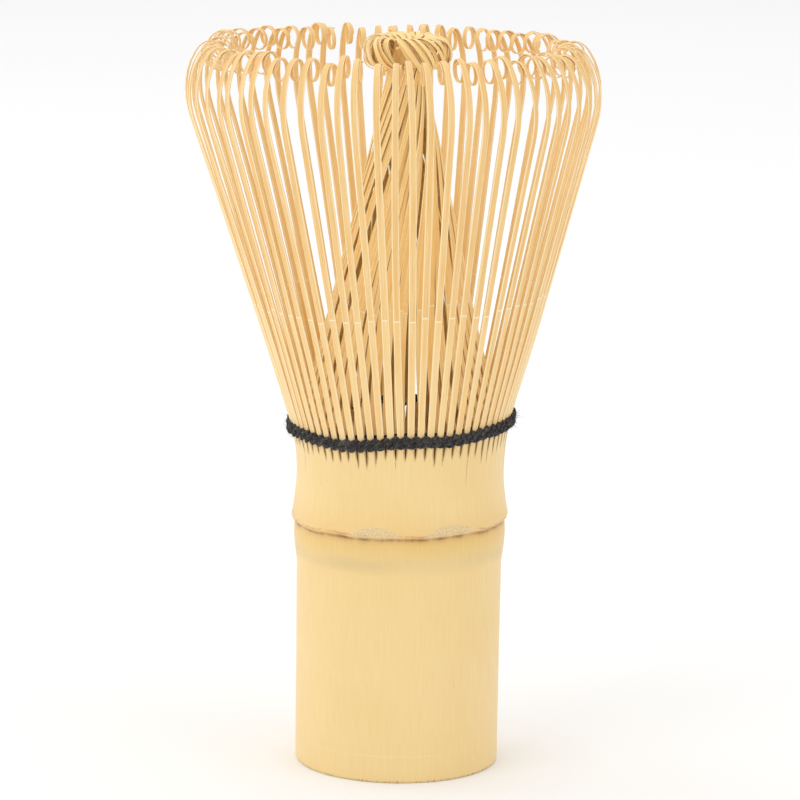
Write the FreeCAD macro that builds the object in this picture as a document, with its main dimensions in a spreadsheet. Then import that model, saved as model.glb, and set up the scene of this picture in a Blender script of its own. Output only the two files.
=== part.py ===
"""Bamboo tea whisk: a hollow culm handle, a ring of curled outer tines, a gathered bundle of
inner tines, and the black thread that holds the two rings of tines apart.

Millimetres, +Z up, origin at the centre of the base that the whisk stands on.
"""

import FreeCAD, Part
import math
import os

import Sketcher

# Driving dimensions: lengths in millimetres, angles in degrees.
DIMS = {
    # culm handle, outside
    "handle_radius": 15.15,
    "base_radius": 14.95,
    "base_round": 0.6,
    "shaft_top_height": 31.0,
    "swell_radius": 15.6,
    "swell_height": 34.8,
    "crease_radius": 15.5,
    "crease_height": 36.6,
    "ridge_radius": 16.05,
    "ridge_height": 37.45,
    "neck_radius": 15.3,
    "neck_height": 44.3,
    "rim_radius": 16.2,
    "rim_height": 51.3,
    # culm handle, inside
    "bore_radius": 11.3,
    "bore_depth": 33.9,
    "septum_top_height": 37.1,
    "upper_bore_radius": 11.9,
    "upper_bore_height": 44.3,
    "rim_bore_radius": 13.9,
    # curved stretches of the culm's outline
    "swell_blend_radius": 5.0,
    "ridge_blend_radius": 14.0,
    "flare_radius": 27.5,
    "upper_flare_radius": 16.0,
    # saw cuts between the roots of the outer tines
    "slit_width": 0.34,
    "slit_bottom_height": 47.9,
    # outer tines
    "tine_root_height": 51.36,
    "outer_root_radius": 16.05,
    "outer_lean": 16.7,
    "outer_straight": 47.3,
    "outer_width": 1.05,
    "outer_thickness": 0.45,
    "shoulder_radius": 10.8,
    "shoulder_turn": 54.3,
    "curl_radius": 1.65,
    "curl_turn": 285.0,
    # inner tines: long ones reach over the short ones
    "inner_lean": 13.1,
    "inner_straight": 50.5,
    "inner_width": 0.4,
    "inner_thickness": 0.3,
    "inner_bend_radius": 8.0,
    "inner_upright": 4.2,
    "inner_top_turn": 180.0,
    "inner_drop": 1.6,
    "inner_hook_turn": 95.0,
    "long_root_radius": 14.3,
    "long_curl_radius": 1.72,
    "short_root_radius": 14.85,
    "short_curl_radius": 1.17,
    # binding thread
    "thread_radius": 0.34,
    "lower_row_radius": 16.62,
    "lower_row_height": 50.92,
    "upper_row_radius": 16.86,
    "upper_row_height": 51.68,
    "spacer_thread_radius": 0.48,
    "spacer_ring_radius": 15.41,
    "spacer_height": 52.5,
    "knot_length": 2.4,
    "knot_depth_radius": 0.5,
    "knot_height_radius": 0.62,
    "knot_height": 53.64,
    "knot_ring_radius": 15.4,
}

OUTER_TINES = 70
OUTER_GROUPS = 14
INNER_TINES = 70
INNER_GROUPS = 7
OUTER_PITCH = 360.0 / OUTER_TINES
INNER_PITCH = 360.0 / INNER_TINES
OUTER_PER_GROUP = OUTER_TINES // OUTER_GROUPS
INNER_PER_GROUP = INNER_TINES // INNER_GROUPS
KNOT_AZIMUTH = 90.0 + INNER_PITCH / 2

HORIZONTAL_AXIS, VERTICAL_AXIS = -1, -2
Z_AXIS = FreeCAD.Vector(0, 0, 1)
LEFT, RIGHT = 1, -1


def value(*terms):
    """The sum of some driving dimensions; a leading minus takes one away."""
    return sum(-DIMS[t[1:]] if t.startswith("-") else DIMS[t] for t in terms)


def formula(*terms):
    """The same sum as an expression on the sheet."""
    return " + ".join("-1 * dims." + t[1:] if t.startswith("-") else "dims." + t for t in terms)


def make_sheet(doc):
    sheet = doc.addObject("Spreadsheet::Sheet", "dims")
    for row, (name, number) in enumerate(DIMS.items(), start=1):
        sheet.set(f"A{row}", name)
        sheet.set(f"B{row}", str(number))
        sheet.setAlias(f"B{row}", name)
    doc.recompute()
    return sheet


def make_body(doc, label, turn=0.0):
    """An empty body, turned about the whisk's axis."""
    body = doc.addObject("PartDesign::Body", label)
    body.Label = label
    body.AllowCompound = True
    body.Placement = FreeCAD.Placement(FreeCAD.Vector(), FreeCAD.Rotation(Z_AXIS, turn))
    return body


def origin_feature(body, role):
    return next(f for f in body.Origin.OriginFeatures if f.Role == role)


def make_sketch(body, plane, name, turn=0.0):
    """A sketch on one of the body's own planes, turned about the whisk's axis."""
    sketch = body.newObject("Sketcher::SketchObject", f"{body.Name}_{name}")
    sketch.AttachmentSupport = [(origin_feature(body, plane), "")]
    sketch.MapMode = "FlatFace"
    upright = Z_AXIS if plane == "XY_Plane" else FreeCAD.Vector(0, 1, 0)
    sketch.AttachmentOffset = FreeCAD.Placement(
        FreeCAD.Vector(), FreeCAD.Rotation(upright, turn)
    )
    return sketch


def bind(sketch, constraint, *terms):
    """Adds a constraint and ties its size to the sheet."""
    index = sketch.addConstraint(constraint)
    sketch.setExpression(f"Constraints[{index}]", formula(*terms))


def pin_point(sketch, geometry, end, across, up):
    """Holds one end of a sketch edge at the sheet's coordinates; None is the axis itself."""
    here = sketch.getPoint(geometry, end)
    if across is None:
        sketch.addConstraint(Sketcher.Constraint("PointOnObject", geometry, end, VERTICAL_AXIS))
    else:
        bind(sketch, Sketcher.Constraint("DistanceX", -1, 1, geometry, end, here.x), *across)
    if up is None:
        sketch.addConstraint(Sketcher.Constraint("PointOnObject", geometry, end, HORIZONTAL_AXIS))
    else:
        bind(sketch, Sketcher.Constraint("DistanceY", -1, 1, geometry, end, here.y), *up)


def near_end(sketch, geometry, point):
    """1 or 2, whichever end of the edge lies at the point."""
    gap = [(sketch.getPoint(geometry, end) - point).Length for end in (1, 2)]
    return 1 if gap[0] < gap[1] else 2


def arc_between(start, end, radius, side):
    """The short arc from start to end that bulges to the left (+1) or right (-1) of that way."""
    chord = end - start
    sagitta = radius - math.sqrt(radius ** 2 - (chord.Length / 2) ** 2)
    normal = FreeCAD.Vector(-chord.y, chord.x, 0).normalize()
    middle = (start + end) / 2 + normal * sagitta * side
    return Part.Arc(start, middle, end)


def closed_outline(sketch, corners, arcs):
    """Joins the corners with lines, or with arcs where arcs says (radius name, side)."""
    points = [
        FreeCAD.Vector(value(*across) if across else 0.0, value(*up) if up else 0.0, 0)
        for across, up in corners
    ]
    edges = []
    for i, start in enumerate(points):
        end = points[(i + 1) % len(points)]
        if i in arcs:
            radius, side = arcs[i]
            edges.append(sketch.addGeometry(arc_between(start, end, DIMS[radius], side), False))
            bind(sketch, Sketcher.Constraint("Radius", edges[i], DIMS[radius]), radius)
        else:
            edges.append(sketch.addGeometry(Part.LineSegment(start, end), False))
    for i, start in enumerate(points):
        this_end = near_end(sketch, edges[i], start)
        last_end = near_end(sketch, edges[i - 1], start)
        sketch.addConstraint(
            Sketcher.Constraint("Coincident", edges[i - 1], last_end, edges[i], this_end)
        )
        pin_point(sketch, edges[i], this_end, *corners[i])


def smooth_path(sketch, across, lean, steps):
    """A path of tangent lines and arcs, from the tines' root height upwards.

    lean is the first line's angle from upright: a dimension's name and +1 outwards or -1
    inwards. Each step is ("line", length) or ("arc", radius, turn, LEFT or RIGHT)."""
    point = FreeCAD.Vector(value(*across), DIMS["tine_root_height"], 0)
    lean_name, lean_side = lean
    heading = 90.0 - lean_side * DIMS[lean_name]
    last = None
    for step in steps:
        along = FreeCAD.Vector(math.cos(math.radians(heading)), math.sin(math.radians(heading)), 0)
        if step[0] == "line":
            end = point + along * DIMS[step[1]]
            edge = sketch.addGeometry(Part.LineSegment(point, end), False)
            first, second = 1, 2
            bind(sketch, Sketcher.Constraint("Distance", edge, DIMS[step[1]]), step[1])
        else:
            _, radius, turn, side = step
            size = DIMS[radius]
            centre = point + FreeCAD.Vector(-along.y, along.x, 0) * size * side
            begin = math.radians(heading - 90.0 * side)
            sweep = math.radians(DIMS[turn]) * side
            low, high = sorted((begin, begin + sweep))
            circle = Part.Circle(centre, FreeCAD.Vector(0, 0, 1), size)
            edge = sketch.addGeometry(Part.ArcOfCircle(circle, low, high), False)
            first, second = (1, 2) if side == LEFT else (2, 1)
            bind(sketch, Sketcher.Constraint("Radius", edge, size), radius)
            arc_angle = Sketcher.Constraint("Angle", edge, math.radians(DIMS[turn]))
            bind(sketch, arc_angle, turn)
            end = sketch.getPoint(edge, second)
            heading += DIMS[turn] * side
        if last is None:
            pin_point(sketch, edge, first, across, ("tine_root_height",))
            index = sketch.addConstraint(
                Sketcher.Constraint("Angle", edge, math.radians(90.0 - lean_side * DIMS[lean_name]))
            )
            sign = "-" if lean_side > 0 else "+"
            sketch.setExpression(f"Constraints[{index}]", f"90 {sign} dims.{lean_name}")
        else:
            sketch.addConstraint(Sketcher.Constraint("Tangent", last[0], last[1], edge, first))
        last = (edge, second)
        point = end


def strip_section(sketch, across, width, thickness, lean):
    """The tine's rectangular section at its root, cut level, so a little longer than square on."""
    level = DIMS[thickness] / math.cos(math.radians(DIMS[lean]))
    centre, half_length, half_width = value(*across), level / 2, DIMS[width] / 2
    corners = [
        FreeCAD.Vector(centre + sx * half_length, sy * half_width, 0)
        for sx, sy in ((-1, -1), (1, -1), (1, 1), (-1, 1))
    ]
    for i, start in enumerate(corners):
        sketch.addGeometry(Part.LineSegment(start, corners[(i + 1) % 4]), False)
    for i in range(4):
        sketch.addConstraint(Sketcher.Constraint("Coincident", i, 2, (i + 1) % 4, 1))
    for i, direction in ((0, "Horizontal"), (2, "Horizontal"), (3, "Vertical")):
        sketch.addConstraint(Sketcher.Constraint(direction, i))
    bind(sketch, Sketcher.Constraint("DistanceY", 1, 1, 1, 2, DIMS[width]), width)
    index = sketch.addConstraint(Sketcher.Constraint("DistanceX", 0, 1, 0, 2, level))
    sketch.setExpression(f"Constraints[{index}]", f"dims.{thickness} / cos(dims.{lean} * 1 deg)")
    sketch.addConstraint(Sketcher.Constraint("Symmetric", 1, 1, 1, 2, HORIZONTAL_AXIS))
    index = sketch.addConstraint(
        Sketcher.Constraint("DistanceX", -1, 1, 0, 1, centre - half_length)
    )
    start = formula(*across)
    sketch.setExpression(
        f"Constraints[{index}]", f"{start} - dims.{thickness} / cos(dims.{lean} * 1 deg) / 2"
    )


def make_tine(doc, body, name, across, lean, width, thickness, steps, turn=0.0):
    """One strip: its root section swept along its side profile."""
    path = make_sketch(body, "XZ_Plane", f"{name}_path", turn)
    smooth_path(path, across, lean, steps)
    section = make_sketch(body, "XY_Plane", f"{name}_section", turn)
    section.setExpression("AttachmentOffset.Base.z", "dims.tine_root_height")
    strip_section(section, across, width, thickness, lean[0])
    doc.recompute()
    tine = body.newObject("PartDesign::AdditivePipe", f"{body.Name}_{name}")
    tine.Profile = section
    tine.Spine = (path, [f"Edge{i + 1}" for i in range(len(steps))])
    tine.Mode = "Standard"
    body.Tip = tine
    doc.recompute()
    return tine


def repeat_round(doc, body, feature, spacing, count):
    """Copies of a feature about the whisk's axis, spacing degrees apart."""
    pattern = body.newObject("PartDesign::PolarPattern", f"{feature.Name}_ring")
    pattern.Originals = [feature]
    pattern.Axis = (origin_feature(body, "Z_Axis"), [""])
    if count * spacing > 359.9:
        pattern.Mode = "Extent"
        pattern.Angle = 360.0
    else:
        pattern.Mode = "Spacing"
        pattern.Offset = spacing
    pattern.Occurrences = count
    body.Tip = pattern
    doc.recompute()
    return pattern


def make_handle(doc):
    """The culm: open below, closed by its septum at the node, flared and slit at the rim."""
    body = make_body(doc, "handle")
    profile = make_sketch(body, "XZ_Plane", "profile")
    corners = [
        (("bore_radius",), None),
        (("base_radius", "-base_round"), None),
        (("base_radius",), ("base_round",)),
        (("handle_radius",), ("shaft_top_height",)),
        (("swell_radius",), ("swell_height",)),
        (("crease_radius",), ("crease_height",)),
        (("ridge_radius",), ("ridge_height",)),
        (("neck_radius",), ("neck_height",)),
        (("rim_radius",), ("rim_height",)),
        (("rim_bore_radius",), ("rim_height",)),
        (("upper_bore_radius",), ("upper_bore_height",)),
        (("upper_bore_radius",), ("septum_top_height",)),
        (None, ("septum_top_height",)),
        (None, ("bore_depth",)),
        (("bore_radius",), ("bore_depth",)),
    ]
    arcs = {
        1: ("base_round", RIGHT),
        3: ("swell_blend_radius", LEFT),
        6: ("ridge_blend_radius", LEFT),
        7: ("flare_radius", LEFT),
        9: ("upper_flare_radius", RIGHT),
    }
    closed_outline(profile, corners, arcs)
    doc.recompute()
    culm = body.newObject("PartDesign::Revolution", "culm")
    culm.Profile = profile
    culm.ReferenceAxis = (profile, ["V_Axis"])
    culm.Angle = 360.0
    body.Tip = culm
    doc.recompute()
    whole = culm.Shape.Volume

    cut = make_sketch(body, "YZ_Plane", "slit_outline")
    cut.setExpression("AttachmentOffset.Base.z", "dims.upper_bore_radius - 0.5")
    top = DIMS["rim_height"] + 1.0
    half = DIMS["slit_width"] / 2
    triangle = [
        FreeCAD.Vector(0, DIMS["slit_bottom_height"], 0),
        FreeCAD.Vector(half, top, 0),
        FreeCAD.Vector(-half, top, 0),
    ]
    for i, start in enumerate(triangle):
        cut.addGeometry(Part.LineSegment(start, triangle[(i + 1) % 3]), False)
    for i in range(3):
        cut.addConstraint(Sketcher.Constraint("Coincident", i, 2, (i + 1) % 3, 1))
    pin_point(cut, 0, 1, None, ("slit_bottom_height",))
    cut.addConstraint(Sketcher.Constraint("Symmetric", 1, 1, 1, 2, VERTICAL_AXIS))
    index = cut.addConstraint(Sketcher.Constraint("DistanceY", -1, 1, 1, 1, top))
    cut.setExpression(f"Constraints[{index}]", "dims.rim_height + 1")
    index = cut.addConstraint(Sketcher.Constraint("DistanceX", 1, 2, 1, 1, 2 * half))
    cut.setExpression(f"Constraints[{index}]", "dims.slit_width")
    doc.recompute()
    slit = body.newObject("PartDesign::Pocket", "slit")
    slit.Profile = cut
    slit.Reversed = True
    slit.Type = "Length"
    slit.setExpression("Length", "dims.rim_radius - dims.upper_bore_radius + 2")
    body.Tip = slit
    doc.recompute()
    repeat_round(doc, body, slit, OUTER_PITCH, OUTER_TINES)
    if not body.Shape.Volume < whole - 1.0:
        raise SystemExit("the slits cut nothing from the culm")
    return body


def make_outer_group(doc, number):
    """Five outer tines side by side, each a strip that leans out and curls in at its tip."""
    turn = (number * OUTER_PER_GROUP + 0.5) * OUTER_PITCH
    body = make_body(doc, f"outer_tines_{number + 1:02d}", turn)
    steps = [
        ("line", "outer_straight"),
        ("arc", "shoulder_radius", "shoulder_turn", LEFT),
        ("arc", "curl_radius", "curl_turn", LEFT),
    ]
    tine = make_tine(
        doc, body, "tine", ("outer_root_radius",), ("outer_lean", 1),
        "outer_width", "outer_thickness", steps,
    )
    repeat_round(doc, body, tine, OUTER_PITCH, OUTER_PER_GROUP)
    return body


def inner_steps(kind):
    """An inner tine leans to the axis, straightens, and curls outwards and down."""
    return [
        ("line", "inner_straight"),
        ("arc", "inner_bend_radius", "inner_lean", RIGHT),
        ("line", "inner_upright"),
        ("arc", f"{kind}_curl_radius", "inner_top_turn", RIGHT),
        ("line", "inner_drop"),
        ("arc", f"{kind}_curl_radius", "inner_hook_turn", RIGHT),
    ]


def make_inner_group(doc, number):
    """Ten inner tines: long and short ones by turns, the long curls over the short ones."""
    turn = number * INNER_PER_GROUP * INNER_PITCH
    body = make_body(doc, f"inner_tines_{number + 1:02d}", turn)
    for kind, offset in (("long", 0.0), ("short", INNER_PITCH)):
        tine = make_tine(
            doc, body, kind, (f"{kind}_root_radius",), ("inner_lean", -1),
            "inner_width", "inner_thickness", inner_steps(kind), offset,
        )
        repeat_round(doc, body, tine, 2 * INNER_PITCH, INNER_PER_GROUP // 2)
    return body


def make_thread_ring(doc, label, ring_radius, height, radius):
    """One turn of the binding thread, level round the whisk."""
    ring = doc.addObject("Part::Torus", label)
    ring.Label = label
    ring.setExpression("Radius1", f"dims.{ring_radius}")
    ring.setExpression("Radius2", f"dims.{radius}")
    ring.setExpression("Placement.Base.z", f"dims.{height}")
    return ring


def make_knot(doc):
    """The thread's tied end, on the far side of the ring from the best face."""
    knot = doc.addObject("Part::Ellipsoid", "thread_knot")
    knot.Label = "thread_knot"
    knot.setExpression("Radius1", "dims.knot_height_radius")
    knot.setExpression("Radius2", "dims.knot_depth_radius")
    knot.setExpression("Radius3", "dims.knot_length / 2")
    knot.Placement.Rotation = FreeCAD.Rotation(Z_AXIS, KNOT_AZIMUTH)
    for axis, function in (("x", "cos"), ("y", "sin")):
        knot.setExpression(
            f"Placement.Base.{axis}", f"dims.knot_ring_radius * {function}({KNOT_AZIMUTH} deg)"
        )
    knot.setExpression("Placement.Base.z", "dims.knot_height")
    return knot


def check_model(doc):
    """Stops the run if any object failed to compute."""
    for item in doc.Objects:
        if "Invalid" in item.State or "Error" in item.State:
            raise SystemExit(f"{item.Label} did not compute: {item.State}")


def main():
    doc = FreeCAD.newDocument("tea_whisk")
    make_sheet(doc)
    parts = [make_handle(doc)]
    parts += [make_outer_group(doc, number) for number in range(OUTER_GROUPS)]
    parts += [make_inner_group(doc, number) for number in range(INNER_GROUPS)]
    parts.append(
        make_thread_ring(doc, "thread_lower_row", "lower_row_radius", "lower_row_height",
                         "thread_radius")
    )
    parts.append(
        make_thread_ring(doc, "thread_upper_row", "upper_row_radius", "upper_row_height",
                         "thread_radius")
    )
    parts.append(
        make_thread_ring(doc, "spacer_thread", "spacer_ring_radius", "spacer_height",
                         "spacer_thread_radius")
    )
    parts.append(make_knot(doc))
    doc.recompute()
    check_model(doc)
    for part in parts:
        if part.Shape.isNull() or not part.Shape.isValid():
            raise SystemExit(f"{part.Label} has no sound shape")
    os.makedirs("parts", exist_ok=True)
    for part in parts:
        part.Shape.exportStep(f"parts/{part.Label}.step")
        print(f"{part.Label}: {part.Shape.Volume:.2f} mm3 in {len(part.Shape.Solids)} solids")


main()
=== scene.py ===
"""The look of the bamboo tea whisk: the culm, its split and curled strips, and the black thread,
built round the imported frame.

Lengths are in millimetres until a mesh is made, which is in metres, as are the lights and the
camera. Angles are in radians unless a comment says degrees. A strip's side profile is worked out
in the plane of its radius and height, and then turned round the whisk's axis.
"""

import math
import random

import bmesh
import bpy
import numpy as np
from mathutils import Matrix, Vector, noise


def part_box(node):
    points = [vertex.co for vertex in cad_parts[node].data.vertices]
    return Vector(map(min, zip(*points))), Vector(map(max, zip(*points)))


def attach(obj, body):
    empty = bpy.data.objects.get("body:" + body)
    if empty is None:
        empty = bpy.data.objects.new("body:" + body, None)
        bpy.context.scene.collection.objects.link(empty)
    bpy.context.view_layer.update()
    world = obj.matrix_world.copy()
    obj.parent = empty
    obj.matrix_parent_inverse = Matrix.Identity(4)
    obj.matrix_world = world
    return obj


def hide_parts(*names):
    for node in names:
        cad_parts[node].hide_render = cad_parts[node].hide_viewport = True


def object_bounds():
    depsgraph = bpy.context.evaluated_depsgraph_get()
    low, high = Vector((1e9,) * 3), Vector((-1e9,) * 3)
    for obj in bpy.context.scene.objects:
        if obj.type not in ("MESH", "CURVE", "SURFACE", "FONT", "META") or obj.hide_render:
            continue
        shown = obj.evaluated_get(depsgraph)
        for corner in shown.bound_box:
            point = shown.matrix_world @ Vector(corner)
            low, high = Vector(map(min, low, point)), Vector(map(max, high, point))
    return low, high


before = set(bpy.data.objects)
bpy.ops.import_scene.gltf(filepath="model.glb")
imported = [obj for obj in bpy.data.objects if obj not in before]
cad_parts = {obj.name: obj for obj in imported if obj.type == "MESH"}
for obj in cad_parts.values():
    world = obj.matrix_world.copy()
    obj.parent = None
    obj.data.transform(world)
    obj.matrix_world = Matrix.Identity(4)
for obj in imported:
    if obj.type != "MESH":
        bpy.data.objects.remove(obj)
cad_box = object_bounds()

MM = 0.001
TURN = 2 * math.pi
dice = random.Random(31)

# ----------------------------------------------------------- counts and sizes, most from the frame
OUTER_NODES = sorted(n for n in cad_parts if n.startswith("outer_tines_"))
INNER_NODES = sorted(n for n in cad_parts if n.startswith("inner_tines_"))
OUTER_PER_NODE = 5
INNER_PER_NODE = 10
OUTER_COUNT = OUTER_PER_NODE * len(OUTER_NODES)
INNER_COUNT = INNER_PER_NODE * len(INNER_NODES)
PITCH = TURN / OUTER_COUNT
RIM_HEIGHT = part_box("handle")[1].z / MM
ROOT_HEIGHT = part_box(OUTER_NODES[0])[0].z / MM
RING_TOP = max(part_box(n)[1].z for n in OUTER_NODES) / MM
BUN_TOP = max(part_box(n)[1].z for n in INNER_NODES) / MM
BAND_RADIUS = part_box("thread_upper_row")[1].x / MM
BAND_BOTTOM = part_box("thread_lower_row")[0].z / MM
BAND_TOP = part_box("thread_upper_row")[1].z / MM
SPACER_HEIGHT = sum(corner.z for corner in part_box("spacer_thread")) / 2 / MM
SPACER_HALF_THICK = 0.48
SPACER_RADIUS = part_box("spacer_thread")[1].x / MM - SPACER_HALF_THICK

# how far the visual's spacer sits under the frame's
SPACER_SINK = 0.4

# The ring of outer tines leans a little to one side, and the node is not quite level.
RING_LEAN = -1.95
NODE_TILT = 0.3

# an outer tine: where it starts, its lean, its straight part and its shoulder (turn in degrees)
OUTER_ROOT, OUTER_LEAN = 16.05, math.radians(16.7)
OUTER_STRAIGHT, SHOULDER_RADIUS, SHOULDER_TURN = 46.5, 10.5, 68

# the share of the usual scatter that an outer tine next to another group has
EDGE_STRAY = 0.45

# an inner tine: where it starts, the bend at the neck and its twist on the way there (in degrees)
INNER_ROOT, NECK_BEND_RADIUS, NECK_TWIST = 14.55, 7.0, 68


# ------------------------------------------------------------------------------ small helpers
def smooth(low, high, x):
    """0 below low, 1 above high, and an even S between."""
    t = np.clip((np.asarray(x, float) - low) / (high - low), 0.0, 1.0)
    return t * t * (3 - 2 * t)


def bell(centre, width, x):
    """1 at the centre, falling to 1/e at the width to either side."""
    return np.exp(-(((np.asarray(x, float) - centre) / width) ** 2))


def wobble(seed, x, scale):
    """Smooth noise from -1 to 1 along a line."""
    return noise.noise(Vector((x * scale, seed * 7.31, seed * 3.17)))


def round_noise(azimuth, fineness, level):
    """Smooth noise from -1 to 1 round the axis, with no seam."""
    return noise.noise(Vector((math.cos(azimuth) * fineness, math.sin(azimuth) * fineness, level)))


def polar(radius, azimuth, height):
    """A point from its distance from the axis, its azimuth and its height."""
    return (radius * math.cos(azimuth), radius * math.sin(azimuth), height)


def turn_path(start, heading, moves, step):
    """Points in the plane of radius and height, no more than step apart. Each move is (length,
    first curvature, last curvature); positive curvature turns left."""
    most_turn = 0.24  # radians from one point to the next
    points = [start]
    radius, height = start
    for length, first, last in moves:
        fastest = max(abs(first), abs(last))
        count = max(2, math.ceil(length / step), math.ceil(length * fastest / most_turn))
        for i in range(count):
            curvature = first + (last - first) * (i + 0.5) / count
            heading += curvature * length / count / 2
            radius += math.cos(heading) * length / count
            height += math.sin(heading) * length / count
            heading += curvature * length / count / 2
            points.append((radius, height))
    return np.array(points)


def lengths_along(points):
    """The distance from the first point to each point, along the line."""
    return np.concatenate(([0.0], np.cumsum(np.linalg.norm(np.diff(points, axis=0), axis=1))))


def mesh_object(name, points, faces, attributes=(), smooth_shading=True):
    """An object from points in millimetres. Each attribute is (name, type, domain, values)."""
    mesh = bpy.data.meshes.new(name)
    mesh.from_pydata((np.asarray(points) * MM).tolist(), [], faces)
    for label, kind, domain, values in attributes:
        layer = mesh.attributes.new(label, kind, domain)
        field = "vector" if kind == "FLOAT_VECTOR" else "value"
        layer.data.foreach_set(field, np.asarray(values, np.float32).ravel())
    mesh.polygons.foreach_set("use_smooth", [smooth_shading] * len(mesh.polygons))
    obj = bpy.data.objects.new(name, mesh)
    bpy.context.scene.collection.objects.link(obj)
    return obj


def turn_normals_out(obj, doubles=0.0):
    """Makes the faces' sides agree, after merging points closer than doubles (in metres)."""
    work = bmesh.new()
    work.from_mesh(obj.data)
    if doubles:
        bmesh.ops.remove_doubles(work, verts=work.verts, dist=doubles)
    bmesh.ops.recalc_face_normals(work, faces=work.faces)
    work.to_mesh(obj.data)
    work.free()


def band_level(azimuth):
    """How far the thread band's middle strays from level: it leans, with a dip at front left."""
    across = np.cos(azimuth)
    ends = 0.38 * (1 - np.exp(-((across / 0.3) ** 2)))
    dip = 0.4 * np.exp(-(((across + 0.57) / 0.24) ** 2))
    return -0.2 + 0.74 * across + 0.75 * across ** 2 - ends - dip


# ------------------------------------------------------------------------------------- strips
# which kind each side of a strip's section is, from the corner after its outer face: 0.5 is a
# chamfer, 1 a split side, 0.25 the inner face and 0 the outer face
FACETS = (0.5, 1.0, 0.5, 0.25, 0.5, 1.0, 0.5, 0.0)
SPLIT_END = 1.0


class Strips:
    """Collects split strips of bamboo into one mesh."""

    def __init__(self):
        self.points, self.faces, self.where, self.facet, self.tint = [], [], [], [], []

    def add(self, path, azimuth, aside, width, thickness, chamfer, tint, roll):
        """A strip along path, with its azimuth, sideways shift, width, thickness and roll at each
        point. Its section is an oblong with chamfered corners, whose first long side faces away
        from the axis."""
        radius, height = path[:, 0], path[:, 1]
        out = np.stack([np.cos(azimuth), np.sin(azimuth), np.zeros_like(azimuth)], axis=1)
        side = np.stack([-np.sin(azimuth), np.cos(azimuth), np.zeros_like(azimuth)], axis=1)
        centre = out * radius[:, None] + side * aside[:, None]
        centre[:, 2] = height
        centre[:, 0] += ring_lean(height, radius)
        along = np.gradient(centre, axis=0)
        along /= np.linalg.norm(along, axis=1)[:, None]
        slope = np.gradient(path, axis=0)
        slope /= np.linalg.norm(slope, axis=1)[:, None]
        facing = out * slope[:, 1][:, None]
        facing[:, 2] = -slope[:, 0]
        across = np.cross(along, facing)
        across /= np.linalg.norm(across, axis=1)[:, None]
        facing = np.cross(across, along)
        across = across * np.cos(roll)[:, None] + facing * np.sin(roll)[:, None]
        facing = np.cross(across, along)
        w, t = width / 2, thickness / 2
        c = np.minimum(chamfer, 0.75 * t)
        corners = [
            (w - c, t), (w, t - c), (w, c - t), (w - c, -t),
            (c - w, -t), (-w, c - t), (-w, t - c), (c - w, t),
        ]
        rings = np.stack(
            [centre + across * u[:, None] + facing * v[:, None] for u, v in corners], axis=1
        )
        count, first, sides = len(path), len(self.points), len(corners)
        distance = lengths_along(centre)
        for k in range(count):
            for j, (u, _) in enumerate(corners):
                self.points.append(rings[k, j])
                self.where.append((u[k], distance[k], tint * 40.0))
                self.tint.append(tint)
        for k in range(count - 1):
            for j in range(sides):
                n = (j + 1) % sides
                a, b = first + k * sides, first + (k + 1) * sides
                self.faces.append((a + j, a + n, b + n, b + j))
                self.facet.append(FACETS[j])
        for k, order in ((0, range(sides - 1, -1, -1)), (count - 1, range(sides))):
            self.faces.append(tuple(first + k * sides + j for j in order))
            self.facet.append(SPLIT_END)

    def build(self, name, material):
        attributes = [
            ("strip", "FLOAT_VECTOR", "POINT", self.where),
            ("tint", "FLOAT", "POINT", self.tint),
            ("facet", "FLOAT", "FACE", self.facet),
        ]
        obj = mesh_object(name, self.points, self.faces, attributes)
        turn_normals_out(obj)
        mark_sharp_edges(obj, math.radians(32))
        obj.data.materials.append(material)
        return obj


def mark_sharp_edges(obj, angle):
    """Keeps edges that turn by more than the angle crisp, while the rest stay smooth."""
    work = bmesh.new()
    work.from_mesh(obj.data)
    for edge in work.edges:
        edge.smooth = len(edge.link_faces) == 2 and edge.calc_face_angle(0.0) < angle
    work.to_mesh(obj.data)
    work.free()


def ring_lean(height, radius):
    """The sideways lean of the outer ring; the gathered middle leans less."""
    rise = np.clip((height - ROOT_HEIGHT) / (RING_TOP - ROOT_HEIGHT), 0, None)
    return RING_LEAN * rise * smooth(7.0, 15.0, radius)


def between(start, end, fraction):
    """The value a fraction of the way from start to end."""
    return start + (end - start) * fraction


def settle_root(path, azimuth):
    """Follows the thread's level at the root, so that no strip stops short of the band."""
    path[:, 1] += band_level(azimuth) * (1 - smooth(ROOT_HEIGHT, ROOT_HEIGHT + 14, path[:, 1]))


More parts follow.
